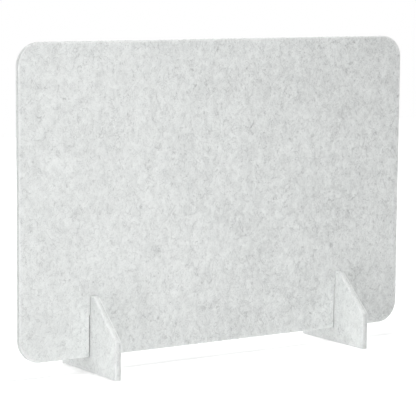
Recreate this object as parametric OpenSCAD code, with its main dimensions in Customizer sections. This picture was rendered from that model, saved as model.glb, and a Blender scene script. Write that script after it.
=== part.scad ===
// Desk-top acoustic divider screen.
// One rounded panel of stiff felt board stands in two feet cut from the same board.
// Each foot crosses the panel in a halved joint: a slot in the foot's top meets a slot in
// the panel's lower edge, and nothing else holds the pieces together.
// Millimetres. The desk is the plane z = 0, +X runs along the panel's width, and the
// front faces -Y. The origin lies on the desk, midway between the feet.

/* [Board] */
// Thickness of the felt board that all three pieces are cut from
board_t = 8; // [5:0.5:12]
// Clearance between the board and each side of a slot that it sits in
slot_gap = 0.7; // [0.3:0.1:1]

/* [Panel] */
// Width of the panel
panel_w = 600; // [500:10:1200]
// Height of the panel
panel_h = 400; // [300:10:700]
// Radius of the panel's four corners
corner_r = 30; // [10:1:80]
// Height of the panel's lower edge above the desk
panel_lift = 20; // [10:1:40]

/* [Feet] */
// Height of a foot
foot_h = 99; // [80:1:140]
// Depth of a foot, from front to back
foot_d = 136; // [100:2:220]
// Height of a foot's two upright ends, where its sloping edges start
end_h = 49; // [20:1:70]
// Level land on a foot's top edge, on each side of its slot
land = 9; // [4:1:25]
// Depth of the slot in a foot's top edge
foot_slot_d = 25; // [15:1:45]
// Distance from the panel's side edge to the middle of a foot
foot_inset = 105; // [90:5:200]

/* [Hidden] */
// Smoothness of the panel's corners
$fn = 96;
// Overrun of a cut past the edge that it opens
overrun = 1;
// Width of every slot: the board and its clearance on both sides
slot_w = board_t + 2 * slot_gap;
// Height of the seat where the panel rests in a foot
seat_z = foot_h - foot_slot_d;
// Distance of each foot from the middle of the panel
foot_x = panel_w / 2 - foot_inset;
// Half of a foot's level top, measured from the panel's middle plane
crest_y = slot_w / 2 + land;

// Outline of the panel before its slots are cut, standing on y = panel_lift
module rounded_outline() {
    core_x = panel_w / 2 - corner_r;
    low_y = panel_lift + corner_r;
    high_y = panel_lift + panel_h - corner_r;
    translate([-core_x, panel_lift]) square([2 * core_x, panel_h]);
    translate([-panel_w / 2, low_y]) square([panel_w, high_y - low_y]);
    for (x = [-core_x, core_x], y = [low_y, high_y])
        translate([x, y]) circle(r = corner_r);
}

// Slot in the panel's lower edge, open downwards and closed at the foot's seat
module panel_slot(x) {
    low_y = panel_lift - overrun;
    translate([x - slot_w / 2, low_y]) square([slot_w, seat_z - low_y]);
}

// Side view of a foot: front to back along x, height along y
module foot_profile() {
    difference() {
        polygon([
            [-foot_d / 2, 0],
            [foot_d / 2, 0],
            [foot_d / 2, end_h],
            [crest_y, foot_h],
            [-crest_y, foot_h],
            [-foot_d / 2, end_h]
        ]);
        translate([-slot_w / 2, seat_z]) square([slot_w, foot_slot_d + overrun]);
    }
}

// A foot with its middle plane at x
module foot(x) {
    translate([x - board_t / 2, 0, 0])
        rotate([90, 0, 90]) linear_extrude(board_t) foot_profile();
}

module panel() {
    color("gainsboro")
        translate([0, board_t / 2, 0])
            rotate([90, 0, 0]) linear_extrude(board_t)
                difference() {
                    rounded_outline();
                    for (side = [-1, 1]) panel_slot(side * foot_x);
                }
}

module foot_left() {
    color("gainsboro") foot(-foot_x);
}

module foot_right() {
    color("gainsboro") foot(foot_x);
}

panel();
foot_left();
foot_right();
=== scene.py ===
# Looks of a desk-top screen: a rounded panel of marbled felt board in two crosswise feet
# cut from the same board. Metres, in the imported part's frame: +X runs along the panel's
# width, the front faces -Y, +Z is up and the desk is z = 0.
import math

import bpy
from mathutils import Matrix, Vector, geometry, kdtree, noise


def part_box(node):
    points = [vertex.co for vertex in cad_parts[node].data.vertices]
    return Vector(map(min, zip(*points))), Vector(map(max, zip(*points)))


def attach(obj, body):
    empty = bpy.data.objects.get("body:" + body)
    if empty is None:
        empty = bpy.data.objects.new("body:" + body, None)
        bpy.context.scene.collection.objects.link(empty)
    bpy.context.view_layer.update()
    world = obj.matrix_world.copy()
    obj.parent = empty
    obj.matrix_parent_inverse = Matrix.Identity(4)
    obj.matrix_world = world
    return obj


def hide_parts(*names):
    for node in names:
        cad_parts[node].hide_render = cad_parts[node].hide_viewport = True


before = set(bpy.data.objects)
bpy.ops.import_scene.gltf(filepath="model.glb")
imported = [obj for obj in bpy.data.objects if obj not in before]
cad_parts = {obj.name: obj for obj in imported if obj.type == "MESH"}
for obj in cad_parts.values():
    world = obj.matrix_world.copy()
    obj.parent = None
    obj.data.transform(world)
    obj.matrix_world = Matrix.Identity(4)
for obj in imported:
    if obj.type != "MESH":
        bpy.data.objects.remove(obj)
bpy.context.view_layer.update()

# Camera
# A long lens in front of the screen's left half, a little above it, turned as the
# photograph's outline asks: the panel's middle falls on one pixel of the picture.
camera_azimuth = math.radians(-33.9)
camera_elevation = math.radians(7.12)
camera_roll = math.radians(0.45)
camera_depth = 2.578
camera_lens = 169.55
camera_sensor = 36.0
picture_side = 416
panel_middle_px = Vector((219.12, 191.33))

panel_low, panel_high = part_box("panel")
panel_middle = (panel_low + panel_high) / 2
backward = Vector((
    math.sin(camera_azimuth) * math.cos(camera_elevation),
    -math.cos(camera_azimuth) * math.cos(camera_elevation),
    math.sin(camera_elevation),
))
level_right = Vector((math.cos(camera_azimuth), math.sin(camera_azimuth), 0))
level_up = backward.cross(level_right)
rightward = math.cos(camera_roll) * level_right + math.sin(camera_roll) * level_up
upward = math.cos(camera_roll) * level_up - math.sin(camera_roll) * level_right
metres_per_px = camera_depth * camera_sensor / camera_lens / picture_side
off_centre = (panel_middle_px - Vector((picture_side / 2, picture_side / 2))) * metres_per_px
camera_data = bpy.data.cameras.new("camera")
camera_data.lens = camera_lens
camera_data.sensor_width = camera_sensor
camera = bpy.data.objects.new("camera", camera_data)
bpy.context.scene.collection.objects.link(camera)
camera_place = (
    panel_middle + backward * camera_depth - rightward * off_centre.x + upward * off_centre.y
)
camera.matrix_world = Matrix.Translation(camera_place) @ Matrix(
    (rightward, upward, backward)
).transposed().to_4x4()
bpy.context.scene.camera = camera

# Panel
# A stiff board of pressed white and grey polyester fibres, knife-cut to a rounded
# rectangle. Two slots in its lower edge drop over the feet. The pressed faces lie a
# little uneven, and the cut edges are rougher, with a soft turn where they meet a face.
board_thickness = panel_high.y - panel_low.y
slot_clearance = 0.0007
slot_half = board_thickness / 2 + slot_clearance
seat_height = 0.074
corner_radius = 0.030
knife_radius = 0.0008
rim_radius = 0.0009
rim_steps = 4
rim_band = 0.0021
band_slack = 0.97
edge_step = 0.0018
fewest_arc_steps = 3
wall_rows = 9
face_step = 0.0045
inside_only = 1
merge_distance = 1e-7
# A face sinks by up to face_wave, in broad swells and finer ripples. faces_apart keeps the
# front's from showing again on the back.
face_wave = 0.00022
face_swell_length = 0.028
face_swell_share = 0.7
face_ripple_length = 0.007
face_ripple_share = 0.3
faces_apart = 0.7
# The knife leaves the cut edges rough, with a grain that is finer through the thickness,
# and lets them waver along their length.
cut_depth = 0.00022
cut_grain = 0.0016
cut_grain_squeeze = 2
cut_waver = 0.008


def rounded_outline(corners):
    """Points around an outline given as (u, v, radius) corners, anticlockwise.

    The straight runs are cut up as finely as the arcs.
    """
    arcs = []
    for i, (u, v, radius) in enumerate(corners):
        here = Vector((u, v))
        back = (Vector(corners[i - 1][:2]) - here).normalized()
        on = (Vector(corners[(i + 1) % len(corners)][:2]) - here).normalized()
        half = back.angle(on) / 2
        middle = here + (back + on).normalized() * radius / math.sin(half)
        start = here + back * radius / math.tan(half) - middle
        sweep = math.pi - 2 * half
        if back.x * on.y - back.y * on.x > 0:
            sweep = -sweep
        count = max(fewest_arc_steps, round(abs(sweep) * radius / edge_step))
        for k in range(count + 1):
            turn = sweep * k / count
            arcs.append(middle + Matrix.Rotation(turn, 2) @ start)
    points = []
    for a, b in zip(arcs, arcs[1:] + arcs[:1]):
        count = max(1, math.ceil((b - a).length / edge_step))
        points += [a.lerp(b, k / count) for k in range(count)]
    return points


def ways_out(ring):
    """The direction out of the outline at each point of its ring."""
    outward = []
    for i in range(len(ring)):
        run = ring[(i + 1) % len(ring)] - ring[i - 1]
        outward.append(Vector((run.y, -run.x)).normalized())
    return outward


def edge_rows():
    """The rows of points that go around a board's edge, from its front face to its back.

    Each is (inset, w, turn): how far it lies in from the outline and from the board's middle
    plane, and the angle by which the skin has turned from the face into the cut.
    """
    half = board_thickness / 2
    flat_half = half - rim_radius
    rows = []
    for k in range(rim_steps + 1):
        turn = math.pi / 2 * k / rim_steps
        inset = rim_radius * (1 - math.sin(turn))
        drop = rim_radius * (1 - math.cos(turn))
        rows.append((inset, half - drop, turn))
    for k in range(1, wall_rows):
        rows.append((0, flat_half * (1 - 2 * k / wall_rows), math.pi / 2))
    return rows + [(inset, -w, turn) for inset, w, turn in reversed(rows[: rim_steps + 1])]


def face_net(ring, outward):
    """A net of triangles across a face: a row along its rim, a row further in, and a grid.

    It gives the net's points, its triangles, and which of those rows' and grid's points
    each one was made from.
    """
    count = len(ring)
    inner = [p - out * rim_radius for p, out in zip(ring, outward)]
    edge = kdtree.KDTree(count)
    for i, point in enumerate(ring):
        edge.insert(point.to_3d(), i)
    edge.balance()
    band_inset = rim_radius + rim_band
    seeds = [p - out * band_inset for p, out in zip(ring, outward)]
    seeds = [p for p in seeds if edge.find(p.to_3d())[2] > band_slack * band_inset]
    near = {(round(p.x / face_step), round(p.y / face_step)) for p in inner + seeds}
    lows = [math.ceil(min(p[k] for p in inner) / face_step) for k in (0, 1)]
    highs = [math.floor(max(p[k] for p in inner) / face_step) for k in (0, 1)]
    for i in range(lows[0], highs[0] + 1):
        for j in range(lows[1], highs[1] + 1):
            if (i, j) not in near:
                seeds.append(Vector((i * face_step, j * face_step)))
    ring_edges = [(i, (i + 1) % count) for i in range(count)]
    points, _, cells, origins, _, _ = geometry.delaunay_2d_cdt(
        inner + seeds, ring_edges, [], inside_only, merge_distance
    )
    return points, cells, origins


def felt_board(name, corners, place):
    """A board cut to an outline, with soft rims and uneven faces.

    place turns a point (u, v, w), with w through the thickness, into x, y, z. The mesh is
    marked with what the felt and its fibres ask for: how much a point lies on the cut edge,
    by a rim, on the front or on the back, and its depth through the board from -1 to 1.
    """
    ring = rounded_outline(corners)
    count = len(ring)
    outward = ways_out(ring)
    half = board_thickness / 2
    flat_half = half - rim_radius
    verts, cut, rim, depth = [], [], [], []

    def add(u, v, w, out, inset, turn):
        """Adds a point of the board's skin with its marks, and gives its number."""
        on_wall = math.sin(turn) ** 2
        grain = noise.noise(Vector((u, v, cut_grain_squeeze * w)) / cut_grain)
        waver = noise.noise(Vector((u, v, 0)) / cut_waver)
        inset += on_wall * cut_depth * max(0, 0.5 + 0.5 * grain + 0.5 * waver)
        side = faces_apart if w > 0 else -faces_apart
        swell = 0.5 + 0.5 * noise.noise(Vector((u, v, side)) / face_swell_length)
        ripple = 0.5 + 0.5 * noise.noise(Vector((u, v, side)) / face_ripple_length)
        w *= 1 - face_wave * (face_swell_share * swell + face_ripple_share * ripple) / half
        verts.append(place(u - out.x * inset, v - out.y * inset, w))
        cut.append(on_wall)
        from_rim = max(0, flat_half - abs(w)) if turn else 0
        rim.append(math.exp(-((from_rim / rim_band) ** 2)) if inset or turn else 0)
        depth.append(w / half)
        return len(verts) - 1

    grid = [
        [add(p.x, p.y, w, out, inset, turn) for p, out in zip(ring, outward)]
        for inset, w, turn in edge_rows()
    ]
    faces = []
    for upper, lower in zip(grid, grid[1:]):
        for i in range(count):
            j = (i + 1) % count
            faces.append((lower[i], lower[j], upper[j], upper[i]))

    points, cells, origins = face_net(ring, outward)
    for border, w in ((grid[0], half), (grid[-1], -half)):
        # The net's points along the rim are the border's own, and the others are added.
        known = {}
        for k, origin in enumerate(origins):
            first = min(origin) if origin else count
            if first < count:
                known[k] = border[first]
        for cell in cells:
            corner = []
            for k in cell:
                if k not in known:
                    known[k] = add(points[k].x, points[k].y, w, Vector((0, 0)), 0, 0)
                corner.append(known[k])
            faces.append(corner if w > 0 else corner[::-1])

    mesh = bpy.data.meshes.new(name)
    mesh.from_pydata(verts, [], faces)
    mesh.shade_smooth()
    front = [(1 - on_wall) * (w > 0) for on_wall, w in zip(cut, depth)]
    back = [(1 - on_wall) * (w < 0) for on_wall, w in zip(cut, depth)]
    marks = {"cut_edge": cut, "rim": rim, "depth": depth, "front_face": front, "back_face": back}
    for label, values in marks.items():
        mesh.attributes.new(label, "FLOAT", "POINT").data.foreach_set("value", values)
    board = bpy.data.objects.new(name, mesh)
    bpy.context.scene.collection.objects.link(board)
    return board


def foot_middle(node):
    """Where a foot's middle plane lies along the panel."""
    low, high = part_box(node)
    return (low.x + high.x) / 2


panel_corners = [(panel_low.x, panel_low.z, corner_radius)]
for node in ("foot_left", "foot_right"):
    middle = foot_middle(node)
    panel_corners += [
        (middle - slot_half, panel_low.z, knife_radius),
        (middle - slot_half, seat_height, knife_radius),
        (middle + slot_half, seat_height, knife_radius),
        (middle + slot_half, panel_low.z, knife_radius),
    ]
panel_corners += [
    (panel_high.x, panel_low.z, corner_radius),
    (panel_high.x, panel_high.z, corner_radius),
    (panel_low.x, panel_high.z, corner_radius),
]
panel = felt_board("panel_board", panel_corners, lambda u, v, w: (u, -w, v))


def put(tree, kind, inputs=(), **settings):
    """A node in tree with its settings made and its inputs linked or set."""
    made = tree.nodes.new(kind)
    for name, value in settings.items():
        setattr(made, name, value)
    for name, value in dict(inputs).items():
        if isinstance(value, bpy.types.NodeSocket):
            tree.links.new(value, made.inputs[name])
        else:
            made.inputs[name].default_value = value
    return made


def group(name, kind, inputs, outputs):
    """An empty node group with named sockets: its tree, what it is given and what it gives."""
    tree = bpy.data.node_groups.new(name, kind)
    for label, (socket, value) in inputs.items():
        made = tree.interface.new_socket(label, in_out="INPUT", socket_type=socket)
        if value is not None:
            made.default_value = value
    for label, socket in outputs.items():
        tree.interface.new_socket(label, in_out="OUTPUT", socket_type=socket)
    return tree, put(tree, "NodeGroupInput").outputs, put(tree, "NodeGroupOutput").inputs


def maths(tree, operation, *values):
    """The values joined one after another by a Math node's operation."""
    total = values[0]
    for value in values[1:] or [0.0]:
        total = put(tree, "ShaderNodeMath", {0: total, 1: value}, operation=operation).outputs[0]
    return total


def ramp(tree, value, low, high, to_low=0.0, to_high=1.0):
    """value carried smoothly from the range low..high to to_low..to_high."""
    ends = {"Value": value, "From Min": low, "From Max": high, "To Min": to_low, "To Max": to_high}
    return put(tree, "ShaderNodeMapRange", ends, interpolation_type="SMOOTHSTEP").outputs["Result"]


def tint(tree, factor, first, second):
    """A colour from first to second by factor."""
    # Sockets 6 and 7 are the Mix node's two colours, and output 2 is the colour it gives.
    colours = {0: factor, 6: first, 7: second}
    return put(tree, "ShaderNodeMix", colours, data_type="RGBA").outputs[2]


def cloud(tree, where, seed, scale, detail, roughness=0.5, distortion=0.0):
    """Noise in four dimensions, so that each seed gives a pattern of its own."""
    look = {
        "Vector": where, "W": seed, "Scale": scale, "Detail": detail,
        "Roughness": roughness, "Distortion": distortion,
    }
    return put(tree, "ShaderNodeTexNoise", look, noise_dimensions="4D").outputs["Fac"]


def patches(tree, where, seed, size, low, high, weights=(0.0, 1.0), **look):
    """Soft patches about size millimetres wide.

    Where their noise is low they have the first weight, and where it is high the second.
    """
    return ramp(tree, cloud(tree, where, seed, 1 / size, **look), low, high, *weights)


def make_strands():
    """Group: curling fibres, where a smooth noise crosses its middle value, broken into lengths.

    Width is how far from that value a fibre reaches, and Cover how much of it is there.
    """
    tree, given, gives = group(
        "strands", "ShaderNodeTree",
        {
            "Vector": ("NodeSocketVector", None),
            "Scale": ("NodeSocketFloat", 0.1),
            "Width": ("NodeSocketFloat", 0.02),
            "Seed": ("NodeSocketFloat", 0.0),
            "Cover": ("NodeSocketFloat", 0.5),
        },
        {"Mask": "NodeSocketFloat"},
    )
    middle_value = 0.5
    seeds_apart = 31.7
    soft_end = 0.08
    field = cloud(
        tree, given["Vector"], given["Seed"], given["Scale"],
        detail=1.5, roughness=0.45, distortion=0.9,
    )
    off_line = maths(tree, "ABSOLUTE", maths(tree, "SUBTRACT", field, middle_value))
    line = ramp(tree, off_line, 0.0, given["Width"], to_low=1.0, to_high=0.0)
    other_seed = maths(tree, "ADD", given["Seed"], seeds_apart)
    lengths = cloud(tree, given["Vector"], other_seed, given["Scale"], detail=0.0)
    start = maths(tree, "SUBTRACT", 1.0, given["Cover"])
    kept = ramp(tree, lengths, start, maths(tree, "ADD", start, soft_end))
    tree.links.new(maths(tree, "MULTIPLY", line, kept), gives["Mask"])
    return tree


strands = make_strands()


def make_marbled_felt():
    """Group: white fibres with grey ones carded in, in clouds, clots and single strands.

    Vector is in millimetres, and so are the sizes here. The weights are shares of grey.
    """
    tree, given, gives = group(
        "marbled_felt", "ShaderNodeTree",
        {
            "Vector": ("NodeSocketVector", None),
            "White": ("NodeSocketColor", (0.8, 0.8, 0.8, 1)),
            "Grey": ("NodeSocketColor", (0.4, 0.4, 0.4, 1)),
            "Grey Share": ("NodeSocketFloat", 1.0),
        },
        {"Color": "NodeSocketColor", "Height": "NodeSocketFloat"},
    )
    where = given["Vector"]

    def strand(size, width, seed, cover, weight):
        """Strands that curl about once in size millimetres."""
        look = {"Vector": where, "Scale": 1 / size, "Width": width, "Seed": seed, "Cover": cover}
        made = put(tree, "ShaderNodeGroup", look, node_tree=strands)
        return maths(tree, "MULTIPLY", made.outputs["Mask"], weight)

    broad = patches(
        tree, where, seed=1.0, size=70, low=0.3, high=0.7, weights=(0.0, 0.085), detail=3,
    )
    marble = patches(
        tree, where, seed=2.0, size=11, low=0.30, high=0.80, weights=(0.0, 0.42),
        detail=8, roughness=0.74, distortion=0.8,
    )
    clots = patches(
        tree, where, seed=3.0, size=5, low=0.60, high=0.78, weights=(0.0, 0.58),
        detail=4, roughness=0.6, distortion=1.2,
    )
    long_curls = strand(size=13, width=0.020, seed=4.0, cover=0.52, weight=0.30)
    curls = strand(size=6.5, width=0.030, seed=5.0, cover=0.50, weight=0.28)
    short_curls = strand(size=3.0, width=0.045, seed=6.0, cover=0.52, weight=0.27)
    wisps = strand(size=1.7, width=0.060, seed=12.0, cover=0.55, weight=0.16)
    pale = strand(size=4.0, width=0.050, seed=7.0, cover=0.55, weight=-0.14)
    grey = maths(tree, "ADD", broad, marble, clots, long_curls, curls, short_curls, wisps, pale)
    grey = maths(tree, "MULTIPLY", grey, given["Grey Share"])
    tree.links.new(tint(tree, grey, given["White"], given["Grey"]), gives["Color"])

    pile_size = 0.9
    marble_relief = 0.8
    pile = cloud(tree, where, 8.0, 1 / pile_size, detail=4, roughness=0.7, distortion=0.6)
    mounds = maths(tree, "MULTIPLY", marble, marble_relief)
    tree.links.new(maths(tree, "ADD", pile, mounds, curls, short_curls), gives["Height"])
    return tree


marbled_felt = make_marbled_felt()
felt_white = (0.86, 0.88, 0.87, 1)
felt_grey = (0.36, 0.37, 0.37, 1)
# Painted highlight mixed with white fibre tufts: the rims are whitened where their rounded edges
# catch the light.
rim_tuft_and_highlight_white = (0.95, 0.96, 0.955, 1)
rim_highlight_weight = 0.42
# The cut edges darken toward this grey in streaks, and along a painted shade line set by the next
# three values.
cut_grey_and_shade = (0.3, 0.31, 0.31, 1)
shade_line_depth = 0.42
shade_line_reach = (0.06, 0.28)
shade_line_weight = 0.42
layers_per_width = 3.5
upright_run = 1.2
pile_height = 0.0003
millimetres = 1000


def felt_material(name, across, shift, white, grey, shares):
    """Felt board whose layers lie across one axis, cut open where its mesh is marked cut_edge.

    shift moves the marbling, so that no two pieces match. shares are the weights of the grey
    fibres at the panel's left and right side: painted shade, more grey on the right where less
    light falls, and less on the left where more falls.
    """
    material = bpy.data.materials.new(name)
    material.use_nodes = True
    tree = material.node_tree
    surface = tree.nodes["Principled BSDF"]
    scale = Vector((millimetres, millimetres, millimetres / upright_run))
    scale[across] *= layers_per_width
    place = put(tree, "ShaderNodeTexCoord").outputs["Object"]
    mapping = {"Vector": place, "Scale": scale, "Location": shift}
    where = put(tree, "ShaderNodeMapping", mapping).outputs[0]
    along = put(tree, "ShaderNodeSeparateXYZ", {0: place}).outputs["X"]
    # Painted shade: the grey share grows from the panel's left side to its right, darker where
    # less light falls.
    share = ramp(tree, along, panel_low.x, panel_high.x, *shares)
    look = {"Vector": where, "White": white, "Grey": grey, "Grey Share": share}
    felt = put(tree, "ShaderNodeGroup", look, node_tree=marbled_felt)
    cut, rim, depth = (
        put(tree, "ShaderNodeAttribute", attribute_name=label).outputs["Fac"]
        for label in ("cut_edge", "rim", "depth")
    )
    streaks = patches(
        tree, where, seed=9.0, size=2.2, low=0.35, high=0.7, weights=(0.05, 0.19),
        detail=4, roughness=0.65,
    )
    # Painted shade: a dark line along the cut edges, off their middle toward one face, where the
    # edge turns away from the light; breaks interrupt it.
    off_shade_line = maths(tree, "ABSOLUTE", maths(tree, "SUBTRACT", depth, shade_line_depth))
    shade_line = ramp(tree, off_shade_line, *shade_line_reach, to_low=shade_line_weight, to_high=0.0)
    breaks = patches(tree, where, seed=10.0, size=9, low=0.3, high=0.55, detail=2)
    darker = maths(tree, "ADD", streaks, maths(tree, "MULTIPLY", shade_line, breaks))
    darker = maths(tree, "MULTIPLY", darker, cut)
    colour = tint(tree, darker, felt.outputs["Color"], cut_grey_and_shade)
    # Painted highlight along the rims, where the rounded edges catch the light, broken up by white
    # fibre tufts.
    tufts = patches(
        tree, where, seed=11.0, size=1.5, low=0.3, high=0.7, weights=(0.35, 1.0),
        detail=3, roughness=0.6,
    )
    colour = tint(tree, maths(tree, "MULTIPLY", rim, tufts, rim_highlight_weight), colour, rim_tuft_and_highlight_white)
    tree.links.new(colour, surface.inputs["Base Color"])
    pile = {"Height": felt.outputs["Height"], "Strength": 0.5, "Distance": pile_height}
    bump = put(tree, "ShaderNodeBump", pile)
    tree.links.new(bump.outputs[0], surface.inputs["Normal"])
    surface.inputs["Roughness"].default_value = 0.92
    surface.inputs["Specular IOR Level"].default_value = 0.25
    surface.inputs["Sheen Weight"].default_value = 0.12
    surface.inputs["Sheen Roughness"].default_value = 0.6
    return material


def keep_bare(board, *boxes):
    """Marks the points of a board inside the boxes, where no loose fibre may lie."""

    def inside(point):
        return any(all(low[k] <= point[k] <= high[k] for k in range(3)) for low, high in boxes)

    bare = [float(inside(v.co)) for v in board.data.vertices]
    board.data.attributes.new("bare", "FLOAT", "POINT").data.foreach_set("value", bare)


# A fibre's length is its piece's Length times a draw from fibre_lengths. It beds into the
# face, with its middle line bedding times its radius above it, and its ends rise by a curve
# of the power end_rise. past_boards is further out than any board reaches.
fibre_points = 7
fibre_radius = 0.00007
fibre_lengths = (0.5, 1.2)
bends_per_fibre = 1.3
bends_apart = 90.0
bedding = 0.6
end_rise = 3.0
past_boards = 1.0
face_fibres = {"Per Square Metre": 17000, "Length": 0.012, "Curl": 0.014, "Lift": 0.0004}
edge_fibres = {"Per Square Metre": 70000, "Length": 0.005, "Curl": 0.005, "Lift": 0.0007}


def make_loose_fibres():
    """Geometry nodes: fibres scattered on a board, curled along it, their ends a little free.

    Curl is how far a bend carries a fibre sideways, and Lift how high its ends may stand.
    """
    tree, given, gives = group(
        "loose_fibres", "GeometryNodeTree",
        {
            "Board": ("NodeSocketGeometry", None),
            "Per Square Metre": ("NodeSocketFloat", 1000.0),
            "Where": ("NodeSocketString", "front_face"),
            "Seed": ("NodeSocketInt", 1),
            "Length": ("NodeSocketFloat", 0.01),
            "Radius": ("NodeSocketFloat", 0.0001),
            "Curl": ("NodeSocketFloat", 0.003),
            "Lift": ("NodeSocketFloat", 0.0003),
            "Material": ("NodeSocketMaterial", None),
        },
        {"Fibres": "NodeSocketGeometry"},
    )

    def stored(name):
        """What the mesh or the points are marked with under name."""
        return put(tree, "GeometryNodeInputNamedAttribute", {"Name": name}).outputs["Attribute"]

    def chance(low, high, draw):
        """A value from low to high for each point, other in each draw."""
        # Sockets 2 and 3 are the Random Value node's float ends, and output 1 is its float.
        ends = {2: low, 3: high, "Seed": maths(tree, "ADD", given["Seed"], draw)}
        return put(tree, "FunctionNodeRandomValue", ends).outputs[1]

    def vector_maths(operation, first, second, label=1):
        """Two vectors joined by operation, or a vector and a number whose socket is label."""
        values = {0: first, label: second}
        return put(tree, "ShaderNodeVectorMath", values, operation=operation).outputs[0]

    density = maths(tree, "MULTIPLY", given["Per Square Metre"], stored(given["Where"]))
    density = maths(tree, "MULTIPLY", density, maths(tree, "SUBTRACT", 1.0, stored("bare")))
    spots = put(
        tree, "GeometryNodeDistributePointsOnFaces",
        {"Mesh": given["Board"], "Density": density, "Seed": given["Seed"]},
    )
    shade = chance(0.0, 1.0, draw=1)
    shaded = put(
        tree, "GeometryNodeStoreNamedAttribute",
        {"Geometry": spots.outputs["Points"], "Name": "shade", "Value": shade}, domain="POINT",
    ).outputs[0]
    ends = {"Start": (-0.5, 0, 0), "End": (0.5, 0, 0)}
    line = put(tree, "GeometryNodeCurvePrimitiveLine", ends).outputs[0]
    line = put(
        tree, "GeometryNodeResampleCurve", {"Curve": line, "Count": fibre_points}
    ).outputs[0]
    spin = put(tree, "ShaderNodeCombineXYZ", {"Z": chance(0.0, math.tau, draw=2)}).outputs[0]
    turn = put(
        tree, "FunctionNodeRotateRotation",
        {"Rotation": spots.outputs["Rotation"], "Rotate By": spin}, rotation_space="LOCAL",
    ).outputs[0]
    length = maths(tree, "MULTIPLY", given["Length"], chance(*fibre_lengths, draw=3))
    laid = put(
        tree, "GeometryNodeInstanceOnPoints",
        {"Points": shaded, "Instance": line, "Rotation": turn, "Scale": length},
    ).outputs[0]
    laid = put(tree, "GeometryNodeRealizeInstances", {0: laid}).outputs[0]
    here = put(tree, "GeometryNodeInputPosition").outputs[0]
    bend = put(
        tree, "ShaderNodeTexNoise",
        {
            "Vector": here,
            "W": maths(tree, "MULTIPLY", stored("shade"), bends_apart),
            "Scale": maths(tree, "DIVIDE", bends_per_fibre, given["Length"]),
            "Detail": 1.0,
        },
        noise_dimensions="4D",
    ).outputs["Color"]
    bend = vector_maths("SUBTRACT", bend, (0.5, 0.5, 0.5))
    bend = vector_maths("SCALE", bend, given["Curl"], "Scale")
    moved = vector_maths("ADD", here, bend)
    board = put(
        tree, "GeometryNodeProximity", {0: given["Board"], "Source Position": moved}
    ).outputs[0]
    facing = put(
        tree, "GeometryNodeSampleNearestSurface",
        {"Mesh": given["Board"], "Value": put(tree, "GeometryNodeInputNormal").outputs[0],
         "Sample Position": moved},
        data_type="FLOAT_VECTOR",
    ).outputs[0]
    along = put(tree, "GeometryNodeSplineParameter").outputs["Factor"]
    from_middle = maths(tree, "SUBTRACT", maths(tree, "MULTIPLY", along, 2.0), 1.0)
    from_middle = maths(tree, "ABSOLUTE", from_middle)
    rise = maths(tree, "POWER", from_middle, end_rise)
    free = maths(tree, "MULTIPLY", rise, given["Lift"], stored("shade"))
    lift = maths(tree, "ADD", maths(tree, "MULTIPLY", given["Radius"], bedding), free)
    rest = vector_maths("ADD", board, vector_maths("SCALE", facing, lift, "Scale"))
    on_desk = put(
        tree, "ShaderNodeCombineXYZ",
        {"X": -past_boards, "Y": -past_boards, "Z": given["Radius"]},
    ).outputs[0]
    rest = vector_maths("MAXIMUM", rest, on_desk)
    curled = put(tree, "GeometryNodeSetPosition", {0: laid, "Position": rest}).outputs[0]
    section = put(
        tree, "GeometryNodeCurvePrimitiveCircle", {"Resolution": 3, "Radius": given["Radius"]}
    ).outputs[0]
    solid = put(
        tree, "GeometryNodeCurveToMesh",
        {"Curve": curled, "Profile Curve": section, "Fill Caps": True},
    ).outputs[0]
    solid = put(tree, "GeometryNodeRealizeInstances", {0: solid}).outputs[0]
    solid = put(
        tree, "GeometryNodeSetMaterial", {0: solid, "Material": given["Material"]}
    ).outputs[0]
    tree.links.new(solid, gives["Fibres"])
    return tree


fibre_white = (0.9, 0.91, 0.905, 1)
fibre_grey = (0.4, 0.41, 0.41, 1)
grey_from = 0.45
grey_full = 0.75


def make_fibre_material():
    """Single polyester fibres: most of them white, some grey."""
    material = bpy.data.materials.new("loose_fibre")
    material.use_nodes = True
    tree = material.node_tree
    surface = tree.nodes["Principled BSDF"]
    shade = put(tree, "ShaderNodeAttribute", attribute_name="shade").outputs["Fac"]
    tone = ramp(tree, shade, grey_from, grey_full)
    tree.links.new(tint(tree, tone, fibre_white, fibre_grey), surface.inputs["Base Color"])
    surface.inputs["Roughness"].default_value = 0.6
    surface.inputs["Sheen Weight"].default_value = 0.1
    return material


loose_fibres = make_loose_fibres()
fibre_material = make_fibre_material()


def scatter_fibres(board, body, where, seed):
    """A piece of loose fibres on one side of a board, or on its cut edges, riding on body."""
    piece = bpy.data.objects.new(f"{board.name}_{where}_fibres", board.data)
    bpy.context.scene.collection.objects.link(piece)
    scatter = piece.modifiers.new("fibres", "NODES")
    scatter.node_group = loose_fibres
    look = dict(edge_fibres if where == "cut_edge" else face_fibres)
    look.update({"Where": where, "Seed": seed, "Radius": fibre_radius, "Material": fibre_material})
    for item in loose_fibres.interface.items_tree:
        if item.in_out == "INPUT" and item.name in look:
            value = look[item.name]
            if item.socket_type == "NodeSocketFloat":
                value = float(value)
            scatter[item.identifier] = value
    made = piece.evaluated_get(bpy.context.evaluated_depsgraph_get())
    mesh = bpy.data.meshes.new_from_object(made)
    piece.modifiers.clear()
    piece.data = mesh
    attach(piece, body)


def dress_board(board, node, seed):
    """The board stands for its node, and carries loose fibres on its faces and cut edges."""
    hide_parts(node)
    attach(board, node)
    for k, where in enumerate(("front_face", "back_face", "cut_edge")):
        scatter_fibres(board, node, where, seed + k)


# Painted shade: the panel's grey share rises from left to right, standing in for the light falling
# off across it.
panel_shade_shares = (0.87, 1.11)
panel_felt = felt_material(
    "panel_felt", across=1, shift=(0, 0, 0), white=felt_white, grey=felt_grey, shares=panel_shade_shares,
)
panel.data.materials.append(panel_felt)
slot_margin = 0.0012
slot_boxes = []
for node in ("foot_left", "foot_right"):
    middle = foot_middle(node)
    slot_boxes.append((
        (middle - slot_half - slot_margin, -past_boards, 0),
        (middle + slot_half + slot_margin, past_boards, seat_height + slot_margin),
    ))
keep_bare(panel, *slot_boxes)
dress_board(panel, "panel", seed=3)

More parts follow.
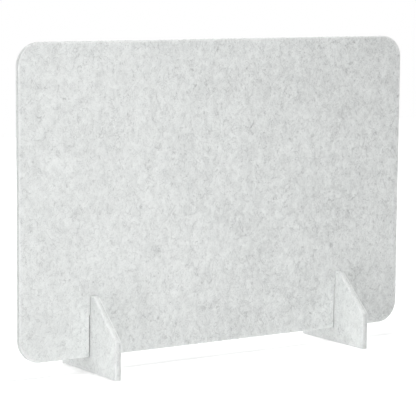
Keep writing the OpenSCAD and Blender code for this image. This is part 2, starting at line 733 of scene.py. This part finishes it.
# Feet
# Two equal pieces of the same board stand crosswise under the panel. Each has a flat
# base, upright ends, sloping top edges and a slot in its top that the panel sits in.
foot_end_height = 0.049
foot_land = 0.009
# Painted light: the feet's felt is the panel's board painted lighter and lower in contrast, as
# their faces catch more light.
foot_lit_white = (0.84, 0.86, 0.85, 1)
foot_lit_grey = (0.46, 0.47, 0.47, 1)
foot_shares = (1.0, 1.0)
foot_shift = (300, 50)
foot_seeds = {"foot_left": 11, "foot_right": 21}
for node, seed in foot_seeds.items():
    low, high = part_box(node)
    crest = slot_half + foot_land
    foot_corners = [
        (low.y, low.z, knife_radius),
        (high.y, low.z, knife_radius),
        (high.y, foot_end_height, knife_radius),
        (crest, high.z, knife_radius),
        (slot_half, high.z, knife_radius),
        (slot_half, seat_height, knife_radius),
        (-slot_half, seat_height, knife_radius),
        (-slot_half, high.z, knife_radius),
        (-crest, high.z, knife_radius),
        (low.y, foot_end_height, knife_radius),
    ]
    middle = foot_middle(node)
    foot = felt_board(node + "_board", foot_corners, lambda u, v, w: (middle + w, u, v))
    foot_felt = felt_material(
        node + "_felt", across=0, shift=(middle * millimetres, *foot_shift),
        white=foot_lit_white, grey=foot_lit_grey, shares=foot_shares,
    )
    foot.data.materials.append(foot_felt)
    keep_bare(
        foot,
        ((low.x, low.y, 0), (high.x, high.y, slot_margin)),
        (
            (low.x, -slot_half - slot_margin, seat_height - slot_margin),
            (high.x, slot_half + slot_margin, past_boards),
        ),
    )
    dress_board(foot, node, seed)

# Floor and light
# A plain white table under soft studio light: large far lamps at both sides, smaller
# ones in front, above and behind, and an even white room.
floor_size = 6.0
table_white = (0.9, 0.9, 0.9, 1)
glow_from = 0.45
glow_full = 1.2
glow_at_screen = 0.34
floor_mesh = bpy.data.meshes.new("floor")
floor_mesh.from_pydata(
    [(x * floor_size / 2, y * floor_size / 2, 0) for x, y in ((-1, -1), (1, -1), (1, 1), (-1, 1))],
    [], [(0, 1, 2, 3)],
)
floor = bpy.data.objects.new("floor", floor_mesh)
bpy.context.scene.collection.objects.link(floor)


def seen_plainly(tree):
    """1 for a ray from the camera, a mirror or a clear pane, and 0 for light on its way."""
    rays = put(tree, "ShaderNodeLightPath").outputs
    kinds = ("Is Camera Ray", "Is Glossy Ray", "Is Transmission Ray")
    return maths(tree, "MAXIMUM", *(rays[kind] for kind in kinds))


table_top = bpy.data.materials.new("floor_white")
table_top.use_nodes = True
tree = table_top.node_tree
tree.nodes.clear()
lit = put(tree, "ShaderNodeBsdfDiffuse", {"Color": table_white}).outputs[0]
place = put(tree, "ShaderNodeTexCoord").outputs["Object"]
away = put(tree, "ShaderNodeVectorMath", {0: place}, operation="LENGTH").outputs["Value"]
glow = ramp(tree, away, glow_from, glow_full, to_low=glow_at_screen, to_high=1.0)
glow = maths(tree, "MULTIPLY", glow, seen_plainly(tree))
glowing = put(tree, "ShaderNodeEmission", {"Strength": glow}).outputs[0]
surface = put(tree, "ShaderNodeAddShader", {0: lit, 1: glowing}).outputs[0]
put(tree, "ShaderNodeOutputMaterial", {"Surface": surface})
floor_mesh.materials.append(table_top)


def soft_lamp(name, place, aim, width, watts):
    """A square studio lamp at place, turned to face aim."""
    data = bpy.data.lights.new(name, "AREA")
    data.shape = "SQUARE"
    data.size = width
    data.energy = watts
    lamp = bpy.data.objects.new(name, data)
    lamp.location = place
    lamp.rotation_mode = "QUATERNION"
    lamp.rotation_quaternion = (Vector(place) - Vector(aim)).to_track_quat("Z", "Y")
    bpy.context.scene.collection.objects.link(lamp)


screen_aim = (0, 0, 0.2)
soft_lamp("left", (-8.0, -0.7, 1.6), screen_aim, width=5.0, watts=280)
soft_lamp("left_back", (-8.0, 2.5, 1.6), screen_aim, width=5.0, watts=105)
soft_lamp("right", (8.0, 0.4, 1.8), screen_aim, width=5.0, watts=155)
soft_lamp("front", (-0.35, -1.1, 0.35), screen_aim, width=0.7, watts=6.2)
soft_lamp("over", (0.2, -0.12, 2.5), (0.2, -0.12, 0), width=0.5, watts=28)
soft_lamp("back", (0.6, 1.9, 1.3), screen_aim, width=1.4, watts=25)
room_light = 0.14
world = bpy.data.worlds.new("room")
bpy.context.scene.world = world
world.use_nodes = True
room = world.node_tree
sky = room.nodes["Background"]
sky.inputs["Color"].default_value = (1, 1, 1, 1)
sky_strength = ramp(room, seen_plainly(room), 0.0, 1.0, to_low=room_light, to_high=1.0)
room.links.new(sky_strength, sky.inputs["Strength"])
bpy.context.scene.view_settings.view_transform = "Standard"
